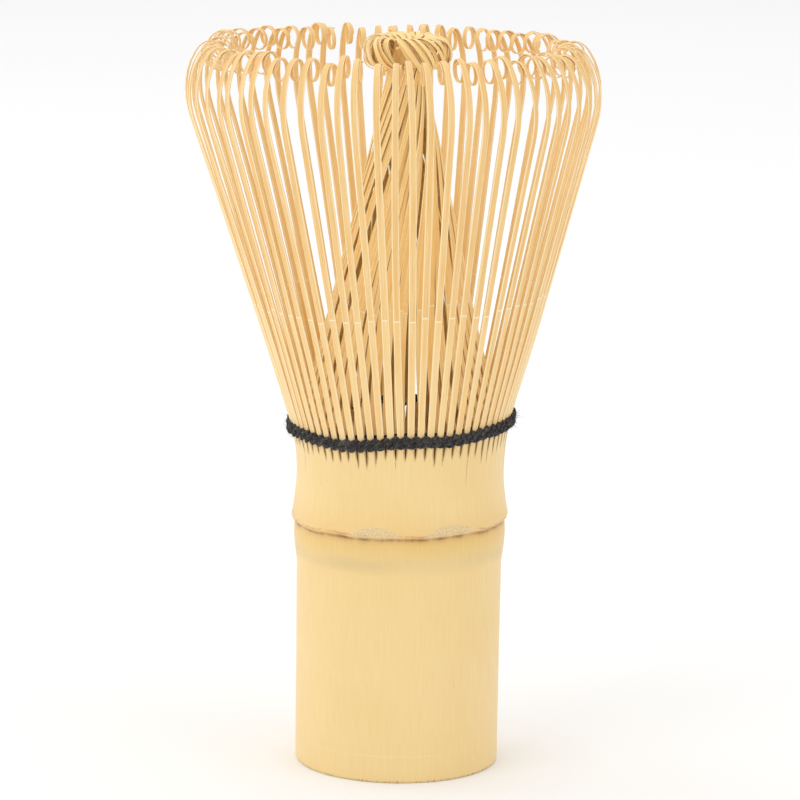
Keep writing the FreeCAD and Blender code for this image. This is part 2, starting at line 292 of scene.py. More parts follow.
def outer_strip(strips, azimuth, stray):
    """An outer tine: out from the rim, over the shoulder, and curled in at the tip. stray is the
    share of the usual sideways scatter, less for a tine that stands next to another group's."""
    lean = OUTER_LEAN + math.radians(dice.uniform(-0.25, 0.15))
    rise = OUTER_STRAIGHT + dice.uniform(-0.25, 0.2)
    shoulder = SHOULDER_RADIUS + dice.uniform(-0.35, 0.3)
    shoulder_turn = math.radians(SHOULDER_TURN + dice.uniform(-1.5, 1.5))
    curl = dice.uniform(1.55, 1.72)
    curl_turn = TURN * dice.uniform(0.98, 1.24)
    tight = curl * dice.uniform(0.82, 0.95)
    bow = dice.uniform(-0.0004, 0.0005)
    moves = [
        (rise, bow, bow),
        (shoulder * shoulder_turn * 0.8, 0.6 / shoulder, 1.25 / shoulder),
        (shoulder * shoulder_turn * 0.25, 1.25 / shoulder, 1 / curl),
        (curl_turn * (curl + tight) / 2, 1 / curl, 1 / tight),
    ]
    path = turn_path((OUTER_ROOT, ROOT_HEIGHT + 0.12), math.pi / 2 - lean, moves, 1.6)
    settle_root(path, azimuth)
    distance = lengths_along(path)
    whole = distance[-1]
    to_curl = whole - moves[-1][0]
    part = distance / to_curl
    swing = dice.gauss(0, 0.26) * stray
    curve = dice.gauss(0, 0.16)
    toward_middle = 1 if math.cos(azimuth) * math.sin(azimuth) > 0 else -1
    hook = toward_middle * (0.3 + dice.uniform(-0.5, 0.5) * stray)
    in_curl = np.clip((distance - to_curl + 1.0) / (whole - to_curl + 1.0), 0, 1)
    aside = swing * part ** 1.6 + curve * np.sin(np.pi * np.clip(part, 0, 1))
    aside = aside + hook * in_curl ** 1.2
    width = between(1.02, 1.07, smooth(0, 6, distance)) * dice.uniform(0.95, 1.04)
    width = width * between(1.0, 0.92, smooth(to_curl - 32, to_curl - 8, distance))
    width = width * between(1.0, 0.66, smooth(to_curl - 8, to_curl + 6, distance))
    thickness = between(0.46, 0.36, smooth(10, 42, distance))
    thickness = between(thickness, 0.15, smooth(to_curl - 14, to_curl + 1, distance))
    roll = math.radians(dice.gauss(0, 5)) * part ** 2
    strips.add(
        path, np.full(len(path), azimuth), aside, width, thickness, 0.16, dice.random(), roll
    )


def inner_strip(strips, index):
    """An inner tine: in to the neck with a growing twist, then wound over into the bun."""
    layer = index % 3
    azimuth = (index + dice.gauss(0, 0.22)) * TURN / INNER_COUNT
    neck = (2.62, 2.15, 1.7)[layer] + dice.uniform(-0.1, 0.1)
    curl = 1.88 - 0.1 * layer + dice.uniform(-0.12, 0.1)
    upright = dice.uniform(3.3, 4.0)
    drop = dice.uniform(0.6, 1.2)
    top = BUN_TOP - 0.1 - 0.14 * layer - dice.uniform(0.0, 0.35)
    bend_height = top - curl - upright
    bend = NECK_BEND_RADIUS
    root_radius = INNER_ROOT + (-0.25, 0.0, 0.2)[layer]
    lean = math.atan2(root_radius - neck - 0.2, bend_height - 1.2 - ROOT_HEIGHT)
    slant_length = (bend_height - bend * math.sin(lean) - ROOT_HEIGHT) / math.cos(lean)
    hook_turn = math.radians(dice.uniform(190, 300))
    moves = [
        (slant_length, 0, 0),
        (bend * lean, -1 / bend, -1 / bend),
        (upright, 0, 0),
        (math.pi * curl, -1 / curl, -1 / curl),
        (drop, -0.05, -0.1),
        (hook_turn * curl * 0.93, -1 / curl, -1.15 / curl),
    ]
    path = turn_path((root_radius, ROOT_HEIGHT), math.pi / 2 + lean, moves, 1.3)
    settle_root(path, azimuth)
    distance = lengths_along(path)
    to_neck = slant_length + bend * lean
    part = np.clip(distance / to_neck, 0, 1)
    twist = math.radians(NECK_TWIST + dice.gauss(0, 2.5))
    slant = 0.095 + 0.05 * wobble(3, azimuth, 1.6) + dice.gauss(0, 0.012)
    winding = slant * np.clip(distance - to_neck, 0, None)
    around = azimuth + twist * part ** 3.4 + winding
    aside = dice.gauss(0, 0.16) * np.sin(np.pi * part)
    width = between(0.86, 0.66, smooth(10, to_neck, distance))
    width = between(width, 0.62, smooth(to_neck - 6, to_neck + 5, distance))
    width = width * dice.uniform(0.9, 1.08)
    thickness = between(0.36, 0.26, smooth(5, 40, distance))
    thickness = between(thickness, 0.15, smooth(to_neck - 4, to_neck + 4, distance))
    roll = math.radians(dice.gauss(0, 9)) * part
    strips.add(path, around, aside, width, thickness, 0.1, dice.random(), roll)


# --------------------------------------------------------------------------------------- culm
# heights and radii on the culm, and its outside as (height, radius)
CREASE = 36.6
SEPTUM_TOP, SEPTUM_BOTTOM = 37.1, 33.9
BORE, UPPER_BORE, RIM_BORE = 11.3, 11.9, 13.9
FLARE_START, SLIT_ZONE = 44.3, 45.2
SLIT_BOTTOM = 48.1
CULM_OUTLINE = [
    (0.0, 15.03), (0.7, 15.1), (16.0, 15.12), (30.4, 15.2), (32.6, 15.5), (34.4, 15.66),
    (36.1, 15.6), (36.5, 15.45), (36.7, 15.5), (36.95, 15.88), (37.5, 16.05), (38.3, 15.85),
    (40.1, 15.6), (42.0, 15.38), (43.9, 15.3), (45.8, 15.38), (47.6, 15.52), (49.6, 15.84),
    (RIM_HEIGHT, 16.2),
]

# what a row of the culm's section belongs to
INSIDE, SKIN, RIM, FLARE = 0, 1, 2, 3

# where the mesh's columns stand between one saw cut and the next, as shares of the way
COLUMNS = (0.0, 0.07, 0.27, 0.5, 0.73, 0.93, 1.0)

# rough patches over the crease: (azimuth, half width as an angle, strength), and their height
CORK_PATCHES = (
    (4.48, 0.28, 1.0), (5.21, 0.3, 0.95), (0.9, 0.2, 0.8), (2.2, 0.26, 1.0), (3.3, 0.15, 0.6),
)
CORK_TALL = 2.3

# a turned line near the base, and the middle of the greyish painted shade under the node
TURNED_LINE = 4.0
SHADE_UNDER_NODE_HEIGHT = CREASE - 4.0

# one unit of the shader's place along the azimuth is a millimetre at about this radius
SKIN_RADIUS = 15.5


def culm_profile():
    """The outer radius by height: the outline with its corners eased, less so at the node."""
    step, half = 0.02, 40
    heights = np.arange(-2.0, 53.0, step)
    known = np.array(CULM_OUTLINE)
    raw = np.interp(heights, known[:, 0], known[:, 1])
    reach = np.arange(-half, half + 1) * step
    fine, broad = (np.exp(-((reach / w) ** 2)) for w in (0.09, 0.38))
    eased = [np.convolve(np.pad(raw, half, "edge"), k / k.sum(), "valid") for k in (fine, broad)]
    near_node = bell(CREASE + 0.2, 1.3, heights)
    return heights, eased[0] * near_node + eased[1] * (1 - near_node)


def node_height(azimuth):
    """How far the node's features sit above their mean at an azimuth: its tilt and its waver."""
    wavy, fine = round_noise(azimuth, 2.2, 4.0), round_noise(azimuth, 9.0, 9.0)
    return NODE_TILT * math.cos(azimuth) + 0.28 * wavy + 0.1 * fine


def cork_patch(azimuth, height):
    """How much of a rough patch, where a root bud was, a place on the skin has."""
    amount = 0.0
    for middle, half, strength in CORK_PATCHES:
        gap = abs((azimuth - middle + math.pi) % TURN - math.pi) / half
        if gap < 1:
            tall = CORK_TALL * (1 - gap * gap) ** 0.7
            inside = smooth(CREASE - 0.05, CREASE + 0.1, height)
            below_top = 1 - smooth(CREASE + tall - 0.9, CREASE + tall, height)
            amount = max(amount, strength * inside * below_top)
    return float(amount)


def culm_rows():
    """The culm's section as (radius, height, kind): from the middle of the septum's underside,
    down the bore, round the base, up the outside, over the rim and down to the septum's top."""
    heights, radii = culm_profile()
    below = [
        (0.0, SEPTUM_BOTTOM + 0.5), (6.0, SEPTUM_BOTTOM + 0.35), (9.5, SEPTUM_BOTTOM),
        (BORE - 0.4, SEPTUM_BOTTOM - 0.4), (BORE, SEPTUM_BOTTOM - 1.4),
    ]
    bore_levels = np.linspace(SEPTUM_BOTTOM - 3.2, 1.0, 12)
    below += [(BORE + 0.06 * math.sin(z * 0.6), z) for z in bore_levels]
    below += [
        (BORE + 0.02, 0.12), (BORE + 0.14, 0.0), (13.1, 0.0), (14.78, 0.0), (14.92, 0.05),
        (15.0, 0.16),
    ]
    above = [
        (UPPER_BORE, 42.4), (UPPER_BORE, SEPTUM_TOP + 1.8), (UPPER_BORE - 0.5, SEPTUM_TOP + 0.1),
        (9.5, SEPTUM_TOP - 0.2), (5.0, SEPTUM_TOP - 0.5), (0.0, SEPTUM_TOP - 0.6),
    ]
    levels = np.concatenate([
        np.linspace(0.45, 29.5, 25),
        np.linspace(30.3, CREASE - 1.55, 10),
        np.linspace(CREASE - 1.35, CREASE + 2.2, 34),
        np.linspace(CREASE + 2.5, SLIT_ZONE - 0.3, 12),
        np.linspace(SLIT_ZONE, RIM_HEIGHT, 30),
    ])
    rows = [(radius, z, INSIDE) for radius, z in below]
    rows += [(float(np.interp(z, heights, radii)), float(z), SKIN) for z in levels]
    rows += [(15.2, RIM_HEIGHT, RIM), (14.4, RIM_HEIGHT, RIM)]
    for z in levels[levels > SLIT_ZONE - 0.1][::-1]:
        up = (z - FLARE_START) / (RIM_HEIGHT - FLARE_START)
        rows.append((between(UPPER_BORE, RIM_BORE, up ** 1.4), float(z), FLARE))
    rows += [(radius, z, INSIDE) for radius, z in above]
    return rows


def build_culm(material):
    """The culm: its section swept round the axis, with a saw cut between every two outer tines."""
    rows = culm_rows()
    outside = [k for k, row in enumerate(rows) if row[2] == SKIN]
    inside = {round(row[1], 4): k for k, row in enumerate(rows) if row[2] == FLARE}
    bottoms = [
        SLIT_BOTTOM + dice.gauss(0, 0.38) - (dice.random() < 0.16) * dice.uniform(0.3, 1.5)
        for _ in range(OUTER_COUNT)
    ]
    cracks = [(dice.random() < 0.4) * dice.uniform(1.0, 4.5) for _ in range(OUTER_COUNT)]
    widths = [dice.uniform(0.36, 0.46) for _ in range(OUTER_COUNT)]

    def half_gap(slit, height):
        """Half the width of a saw cut at a height."""
        part = max(0.0, (height - bottoms[slit]) / (RIM_HEIGHT - bottoms[slit]))
        return widths[slit] / 2 * part ** 1.15

    points, where, cork, slit_dark, cut = [], [], [], [], []
    for radius, height, kind in rows:
        skin = kind == SKIN
        banded = float(smooth(FLARE_START, RIM_HEIGHT, height)) * (kind != INSIDE)
        node_part = float(bell(CREASE, 5.5, height)) if skin else 0.0
        for s in range(OUTER_COUNT):
            low = s * PITCH + half_gap(s, height) / max(radius, 1.0)
            high = (s + 1) * PITCH - half_gap((s + 1) % OUTER_COUNT, height) / max(radius, 1.0)
            for column in COLUMNS:
                azimuth = between(low, high, column)
                shift = node_height(azimuth) * node_part
                shift += band_level(azimuth) * banded
                level = height + shift
                patch = cork_patch(azimuth, height) if skin else 0.0
                out = radius
                if skin:
                    broad = round_noise(azimuth, 1.6, height * 0.05)
                    out += 0.05 * broad * float(smooth(1, 4, height))
                    out += patch * (0.03 + 0.07 * round_noise(azimuth, 40, height * 2.6))
                points.append(polar(out, azimuth, level))
                where.append((azimuth * SKIN_RADIUS, height, out))
                cork.append(patch)
                edge = min(column, 1 - column) * 2
                rise = smooth(bottoms[s] - 0.8, bottoms[s] + 1.4, height)
                dark = float(rise) * (1 - float(smooth(0.0, 0.5, edge)))
                near = s if column < 0.5 else (s + 1) % OUTER_COUNT
                if column in (0.0, 1.0) and cracks[near]:
                    below = (bottoms[near] - height) / cracks[near]
                    dark = max(dark, (1 - below) ** 0.4 if 0 < below < 1 else 0.0)
                slit_dark.append(dark if skin else 0.0)
                cut.append(0.0 if skin else 1.0)

    wide = len(COLUMNS)
    ring = OUTER_COUNT * wide
    faces = []
    for k in range(len(rows) - 1):
        for s in range(OUTER_COUNT):
            for j in range(wide - 1):
                a = k * ring + s * wide + j
                faces.append((a, a + 1, a + ring + 1, a + ring))
    for k in outside[:-1]:
        z_low, z_high = round(rows[k][1], 4), round(rows[k + 1][1], 4)
        if z_low not in inside or z_high not in inside:
            continue
        k_in, k_in_up = inside[z_low], inside[z_high]
        for s in range(OUTER_COUNT):
            for j, slit in ((0, s), (wide - 1, (s + 1) % OUTER_COUNT)):
                if half_gap(slit, rows[k + 1][1]) > 0:
                    at = s * wide + j
                    faces.append(tuple(row * ring + at for row in (k, k + 1, k_in_up, k_in)))
    rim = [k for k, row in enumerate(rows) if row[1] == RIM_HEIGHT]
    for s in range(OUTER_COUNT):
        for j in (0, wide - 1):
            faces.append(tuple(k * ring + s * wide + j for k in rim))
    attributes = [
        ("culm", "FLOAT_VECTOR", "POINT", where),
        ("cork", "FLOAT", "POINT", cork),
        ("slit", "FLOAT", "POINT", slit_dark),
        ("cut", "FLOAT", "POINT", cut),
    ]
    obj = mesh_object("culm_handle", points, faces, attributes)
    turn_normals_out(obj, doubles=2e-6)
    mark_sharp_edges(obj, math.radians(50))
    obj.data.materials.append(material)
    return obj


# ------------------------------------------------------------------------------------- thread
# how far the middle of a row stands from the band's edge
ROW_INSET = 0.36


class Yarn:
    """Collects thin round strands into one mesh."""

    def __init__(self):
        self.points, self.faces, self.where = [], [], []

    def add(self, line, radius, sides, closed=False, tone=0.0):
        """A tube along the line's points; radius is one number or one for each point."""
        line = np.asarray(line, float)
        count, first = len(line), len(self.points)
        radius = np.broadcast_to(radius, count)
        if closed:
            along = np.roll(line, -1, axis=0) - np.roll(line, 1, axis=0)
        else:
            along = np.gradient(line, axis=0)
        along /= np.linalg.norm(along, axis=1)[:, None]
        up = np.array([0.0, 0.0, 1.0])
        side = np.cross(along, up)
        side[np.linalg.norm(side, axis=1) < 0.05] = (1.0, 0.0, 0.0)
        side /= np.linalg.norm(side, axis=1)[:, None]
        up = np.cross(side, along)
        distance = lengths_along(line)
        for k in range(count):
            for j in range(sides):
                angle = TURN * j / sides
                spoke = side[k] * math.cos(angle) + up[k] * math.sin(angle)
                self.points.append(line[k] + spoke * radius[k])
                self.where.append((j / sides, distance[k], tone))
        steps = count if closed else count - 1
        for k in range(steps):
            a, b = first + k * sides, first + (k + 1) % count * sides
            for j in range(sides):
                n = (j + 1) % sides
                self.faces.append((a + j, a + n, b + n, b + j))
        if not closed:
            self.faces.append(tuple(first + j for j in range(sides - 1, -1, -1)))
            self.faces.append(tuple(first + (count - 1) * sides + j for j in range(sides)))

    def add_plied(self, line, radius, plies, lay, closed, tone):
        """A strand of several plies twisted together, lay millimetres to a turn."""
        line = np.asarray(line, float)
        if closed:
            along = np.roll(line, -1, axis=0) - np.roll(line, 1, axis=0)
            whole = lengths_along(np.vstack([line, line[:1]]))
            turns = round(whole[-1] / lay)
            angle = whole[:-1] / whole[-1] * turns * TURN
        else:
            along = np.gradient(line, axis=0)
            angle = lengths_along(line) / lay * TURN
        along /= np.linalg.norm(along, axis=1)[:, None]
        side = np.cross(along, (0.0, 0.0, 1.0))
        side /= np.linalg.norm(side, axis=1)[:, None]
        up = np.cross(side, along)
        ply = radius / (1 + 1 / math.sin(math.pi / plies)) * 1.12
        offset = radius - ply
        for p in range(plies):
            a = angle + TURN * p / plies
            core = line + (side * np.cos(a)[:, None] + up * np.sin(a)[:, None]) * offset
            self.add(core, ply, 6, closed, tone + p * 0.37)

    def add_fuzz(self, lines, count, reach, away):
        """Loose fibres standing off the strands, in the direction that away gives at a point."""
        for _ in range(count):
            line = dice.choice(lines)
            root = np.array(line[dice.randrange(len(line))])
            off = away(root)
            drift = np.array([dice.gauss(0, 0.8), dice.gauss(0, 0.8), dice.gauss(0, 0.9)])
            course = off * dice.uniform(0.3, 1.0) + drift
            course /= np.linalg.norm(course)
            curl = np.array([dice.gauss(0, 1), dice.gauss(0, 1), dice.gauss(0, 1)]) * 0.5
            length = reach * dice.uniform(0.4, 1.2)
            parts = np.linspace(0, 1, 5)[:, None]
            hair = root + course * length * parts + curl * length * parts ** 2
            self.add(hair, 0.018 * (1 - 0.6 * parts[:, 0]), 3, tone=dice.random())

    def build(self, name, material):
        attributes = [("yarn", "FLOAT_VECTOR", "POINT", self.where)]
        obj = mesh_object(name, self.points, self.faces, attributes)
        turn_normals_out(obj)
        obj.data.materials.append(material)
        return obj


def outward(point):
    """The level direction away from the axis at a point."""
    flat = np.array([point[0], point[1], 0.0])
    return flat / np.linalg.norm(flat)


def band_height(azimuth):
    """How far the thread band strays from level at an azimuth, with its unevenness."""
    broad, fine = round_noise(azimuth, 1.9, 2.0), round_noise(azimuth, 6.5, 5.0)
    return band_level(azimuth) + 0.14 * broad + 0.12 * fine


def twined_row(yarn, height, radius, strand, start, seed):
    """Two strands that cross between the tines, so that each stitch slants over one tine."""
    per_stitch = 11
    lines = []
    for half in (0, 1):
        line = []
        for k in range(OUTER_COUNT * per_stitch):
            azimuth = k / per_stitch * PITCH
            phase = math.pi * (k / per_stitch + start + half)
            loose = 1 + 0.55 * wobble(seed + half, k / per_stitch, 0.7)
            pull = 0.36 * loose
            swell = 0.22 * loose
            level = height + band_height(azimuth) + 0.07 * wobble(seed + 5, k / per_stitch, 0.9)
            out = radius - 0.26 + swell * math.cos(phase)
            rise = level + pull * math.sin(phase)
            line.append(polar(out, azimuth, rise))
        lines.append(line)
        yarn.add_plied(line, strand, 3, 0.95, True, seed + half)
    # a filler strand behind the stitches closes the gaps
    behind = []
    back = radius - 0.3
    for k in range(OUTER_COUNT * 3):
        azimuth = k / 3 * PITCH
        behind.append(polar(back, azimuth, height + band_height(azimuth)))
    yarn.add(behind, 0.3, 8, True, seed)
    return lines


def build_rows(material):
    """The band's two rows of thread, as (object, node) pairs."""
    made = []
    for name, height, sunk, start, seed in (
        ("thread_lower_row", BAND_BOTTOM + ROW_INSET, 0.5, 0.0, 11),
        ("thread_upper_row", BAND_TOP - ROW_INSET, 0.42, 0.5, 23),
    ):
        yarn = Yarn()
        lines = twined_row(yarn, height, BAND_RADIUS - sunk, 0.3, start, seed)
        yarn.add_fuzz(lines, 1500, 0.75, outward)
        made.append((yarn.build(name + "_yarn", material), name))
    return made


def build_spacer(material):
    """The turns between the rings, and the ties that dive to them between the outer tines."""
    spacer_level = SPACER_HEIGHT - SPACER_SINK
    yarn = Yarn()
    lines = []
    for turn in range(4):
        line = []
        for k in range(OUTER_COUNT * 4):
            azimuth = k / 4 * PITCH
            angle = TURN * (turn / 4 + 0.013 * k)
            out = SPACER_RADIUS + 0.23 * math.cos(angle)
            rise = spacer_level + band_height(azimuth) * 0.8 + 0.23 * math.sin(angle)
            line.append(polar(out, azimuth, rise))
        lines.append(line)
        yarn.add_plied(line, 0.24, 2, 1.0, False, 31 + turn)
    for s in range(OUTER_COUNT):
        azimuth = s * PITCH
        level = band_height(azimuth)
        dive = [
            (BAND_RADIUS - 0.75, BAND_TOP - 0.75 + level),
            (BAND_RADIUS - 0.7, BAND_TOP - 0.2 + level),
            (BAND_RADIUS - 0.95, BAND_TOP + level * 0.9),
            (SPACER_RADIUS + 0.2, spacer_level + level * 0.8),
        ]
        bend = dice.uniform(-0.1, 0.1)
        cos, sin = math.cos(azimuth), math.sin(azimuth)
        line = [(r * cos - bend * sin, r * sin + bend * cos, z) for r, z in dive]
        yarn.add(line, 0.2, 6, tone=s * 0.11)
    yarn.add_fuzz(lines, 120, 0.5, outward)
    return yarn.build("spacer_thread_yarn", material), "spacer_thread"


def build_knot(material):
    """The thread's tied end: a trefoil knot with two short tails."""
    yarn = Yarn()
    middle = Vector(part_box("thread_knot")[0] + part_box("thread_knot")[1]) / 2 / MM
    azimuth = math.atan2(middle.y, middle.x)
    out = np.array([math.cos(azimuth), math.sin(azimuth), 0.0])
    side = np.array([-math.sin(azimuth), math.cos(azimuth), 0.0])
    up = np.array([0.0, 0.0, 1.0])
    trefoil = []
    for k in range(72):
        a = TURN * k / 72
        trefoil.append(
            np.array(middle)
            + side * 0.26 * (math.sin(a) + 2 * math.sin(2 * a))
            + up * 0.14 * (math.cos(a) - 2 * math.cos(2 * a))
            - out * 0.2 * math.sin(3 * a)
        )
    yarn.add_plied(trefoil, 0.2, 3, 0.9, True, 51)
    for way in (-1, 1):
        tail = [
            np.array(middle) + side * way * (0.3 + 0.3 * t) + up * (0.1 - 0.2 * t)
            for t in range(4)
        ]
        yarn.add_plied(tail, 0.18, 3, 0.9, False, 57 + way)
        yarn.add_fuzz([tail[-1:]], 14, 0.7, lambda p, w=way: side * w)
    return yarn.build("thread_knot_yarn", material), "thread_knot"


# ---------------------------------------------------------------------------------- materials
class Shader:
    """Short names for the nodes that the materials are made of."""

    def __init__(self, name):
        self.material = bpy.data.materials.new(name)
        self.material.use_nodes = True
        self.tree = self.material.node_tree
        self.surface = self.tree.nodes["Principled BSDF"]

    def node(self, kind, **settings):
        made = self.tree.nodes.new(kind)
        for key, value in settings.items():
            setattr(made, key, value)
        return made

    def feed(self, socket, value):
        """Links a socket to another, or sets its value."""
        if isinstance(value, bpy.types.NodeSocket):
            self.tree.links.new(value, socket)
        else:
            socket.default_value = value

    def attribute(self, name, output="Fac"):
        return self.node("ShaderNodeAttribute", attribute_name=name).outputs[output]

    def math(self, operation, a, b=0.0):
        made = self.node("ShaderNodeMath", operation=operation)
        self.feed(made.inputs[0], a)
        self.feed(made.inputs[1], b)
        return made.outputs[0]

    def times(self, a, b):
        return self.math("MULTIPLY", a, b)

    def gap(self, a, b):
        """How far apart two values are."""
        return self.math("ABSOLUTE", self.math("SUBTRACT", a, b))

    def split(self, vector):
        made = self.node("ShaderNodeSeparateXYZ")
        self.feed(made.inputs[0], vector)
        return made.outputs

    def stretch(self, vector, scale):
        made = self.node("ShaderNodeVectorMath", operation="MULTIPLY")
        self.feed(made.inputs[0], vector)
        made.inputs[1].default_value = scale
        return made.outputs[0]

    def noise(self, vector, scale, detail, roughness):
        made = self.node("ShaderNodeTexNoise")
        self.feed(made.inputs["Vector"], vector)
        made.inputs["Scale"].default_value = scale
        made.inputs["Detail"].default_value = detail
        made.inputs["Roughness"].default_value = roughness
        return made.outputs["Fac"]

    def grain(self, place, fineness, detail, roughness):
        """Noise with its own fineness along each axis."""
        return self.noise(self.stretch(place, fineness), 1.0, detail, roughness)

    def ease(self, value, low, high, to_low=0.0, to_high=1.0):
        """to_low where the value is low, to_high where it is high, and an even S between."""
        made = self.node("ShaderNodeMapRange", interpolation_type="SMOOTHSTEP")
        self.feed(made.inputs["Value"], value)
        made.inputs["From Min"].default_value = low
        made.inputs["From Max"].default_value = high
        made.inputs["To Min"].default_value = to_low
        made.inputs["To Max"].default_value = to_high
        return made.outputs[0]

    def mix(self, amount, a, b):
        made = self.node("ShaderNodeMix", data_type="RGBA")
        self.feed(made.inputs["Factor"], amount)
        self.feed(made.inputs["A"], a)
        self.feed(made.inputs["B"], b)
        return made.outputs["Result"]

    def ramp(self, value, stops):
        """A colour from a value, through stops of (position, colour)."""
        made = self.node("ShaderNodeValToRGB")
        elements = made.color_ramp.elements
        while len(elements) < len(stops):
            elements.new(0.5)
        for element, (position, colour) in zip(elements, stops):
            element.position = position
            element.color = colour
        self.feed(made.inputs[0], value)
        return made.outputs["Color"]

    def bump(self, height, strength, distance):
        made = self.node("ShaderNodeBump")
        self.feed(made.inputs["Height"], height)
        made.inputs["Strength"].default_value = strength
        made.inputs["Distance"].default_value = distance
        self.feed(self.surface.inputs["Normal"], made.outputs[0])


def tone(red, green, blue):
    """A colour from its screen values, 0 to 255."""
    def linear(c):
        c /= 255
        return c / 12.92 if c <= 0.04045 else ((c + 0.055) / 1.055) ** 2.4
    return (linear(red), linear(green), linear(blue), 1.0)


def culm_material():
    """Dried bamboo skin with the marks at its node, painted shade under the node and in its
    crease, and pale wood where it is sawn or hollow.
    """
    s = Shader("bamboo_culm")
    place = s.attribute("culm", "Vector")
    _, height, _ = s.split(place)
    fibre = s.grain(place, (4.5, 0.16, 0.0), 4.0, 0.6)
    fine = s.grain(place, (16.0, 0.5, 0.0), 3.0, 0.6)
    patchy = s.grain(place, (0.10, 0.07, 0.0), 3.0, 0.55)
    # the tone by height; the darker stop at 0.642 is painted shade under the node's swelling
    colour = s.ramp(s.math("DIVIDE", height, RIM_HEIGHT), [
        (0.0, tone(243, 213, 152)), (0.3, tone(244, 214, 153)), (0.605, tone(243, 212, 149)),
        (0.642, tone(236, 207, 145)), (0.672, tone(235, 201, 130)), (0.705, tone(231, 192, 118)),
        (0.73, tone(240, 204, 138)), (0.80, tone(244, 213, 150)), (1.0, tone(245, 215, 152)),
    ])
    colour = s.mix(s.ease(patchy, 0.42, 0.72, 0.0, 0.35), colour, tone(240, 205, 138))
    colour = s.mix(s.ease(fibre, 0.45, 0.75, 0.0, 0.22), colour, tone(228, 194, 124))
    colour = s.mix(s.ease(fibre, 0.46, 0.25, 0.0, 0.25), colour, tone(250, 228, 170))
    colour = s.mix(s.ease(fine, 0.55, 0.8, 0.0, 0.14), colour, tone(214, 176, 106))
    # greyish painted shade under the node's swelling, in blotches
    below = s.gap(height, SHADE_UNDER_NODE_HEIGHT)
    blotches = s.grain(place, (0.11, 0.2, 0.0), 4.0, 0.6)
    painted_shade_under_node = s.times(s.ease(below, 1.8, 0.1), s.ease(blotches, 0.38, 0.66, 0.15, 0.55))
    colour = s.mix(painted_shade_under_node, colour, tone(220, 192, 138))
    # a faint turned line near the base
    ring = s.gap(height, TURNED_LINE)
    broken = s.grain(place, (0.12, 0.0, 0.0), 2.0, 0.5)
    turned = s.times(s.ease(ring, 0.14, 0.04), s.ease(broken, 0.4, 0.6, 0.0, 0.24))
    colour = s.mix(turned, colour, tone(255, 236, 190))
    # rare dark flecks in the skin
    flecks = s.grain(place, (2.3, 1.5, 0.0), 2.0, 0.7)
    colour = s.mix(s.ease(flecks, 0.735, 0.77, 0.0, 0.5), colour, tone(150, 104, 52))
    # the crease under the node's ridge, darker in places: the old sheath's scar, with painted
    # shade in the groove under the overhanging ridge
    line = s.gap(height, CREASE)
    uneven = s.grain(place, (0.35, 0.0, 0.0), 4.0, 0.6)
    crease = s.times(s.ease(line, 0.36, 0.05), s.ease(uneven, 0.32, 0.66, 0.15, 0.8))
    stain_and_crease_shade = s.times(s.ease(line, 1.1, 0.1), s.ease(uneven, 0.4, 0.65, 0.1, 0.55))
    # the edge of the old sheath, just over the crease, in some places only
    waver = s.grain(place, (0.22, 0.0, 0.0), 2.0, 0.5)
    from_sheath = s.gap(height, s.math("ADD", s.times(waver, 1.6), CREASE - 0.15))
    sheath = s.times(s.ease(from_sheath, 0.22, 0.03), s.ease(uneven, 0.42, 0.58, 0.0, 0.65))
    colour = s.mix(sheath, colour, tone(190, 146, 96))
    # a wider band of painted shade round the crease, with the stain there
    colour = s.mix(stain_and_crease_shade, colour, tone(206, 160, 102))
    # pale, rough scars over the crease
    cork = s.attribute("cork")
    crumbs = s.grain(place, (3.6, 5.4, 0.0), 5.0, 0.8)
    scar = s.mix(s.ease(crumbs, 0.36, 0.76), tone(247, 226, 178), tone(168, 124, 76))
    scarred = s.times(s.ease(cork, 0.2, 0.6), s.ease(crumbs, 0.3, 0.55, 0.3, 0.8))
    colour = s.mix(scarred, colour, scar)
    # the crease line: the sheath's scar, darkened further as painted shade
    colour = s.mix(crease, colour, tone(140, 94, 52))
    colour = s.mix(s.ease(s.attribute("slit"), 0.15, 0.9, 0.0, 0.75), colour, tone(158, 106, 50))
    # sawn and inner surfaces show the pale, dotted wood
    spot = s.node("ShaderNodeTexCoord").outputs["Object"]
    dots = s.grain(spot, (2600, 2600, 160), 2.0, 0.6)
    dotted = s.times(s.ease(dots, 0.5, 0.68), s.ease(height, 0.3, 1.5, 1.0, 0.3))
    wood = s.mix(dotted, tone(234, 208, 152), tone(168, 122, 70))
    cut = s.attribute("cut")
    colour = s.mix(cut, colour, wood)
    s.feed(s.surface.inputs["Base Color"], colour)
    skin_roughness = s.ease(fibre, 0.3, 0.75, 0.34, 0.5)
    roughness = s.math("MAXIMUM", skin_roughness, s.times(cut, 0.7))
    s.feed(s.surface.inputs["Roughness"], roughness)
    s.surface.inputs["Specular IOR Level"].default_value = 0.42
    relief = s.math("ADD", s.times(fibre, 0.6), s.times(fine, 0.35))
    relief = s.math("ADD", relief, s.times(s.times(crumbs, cork), 1.8))
    s.bump(relief, 0.35, 0.00012)
    return s.material


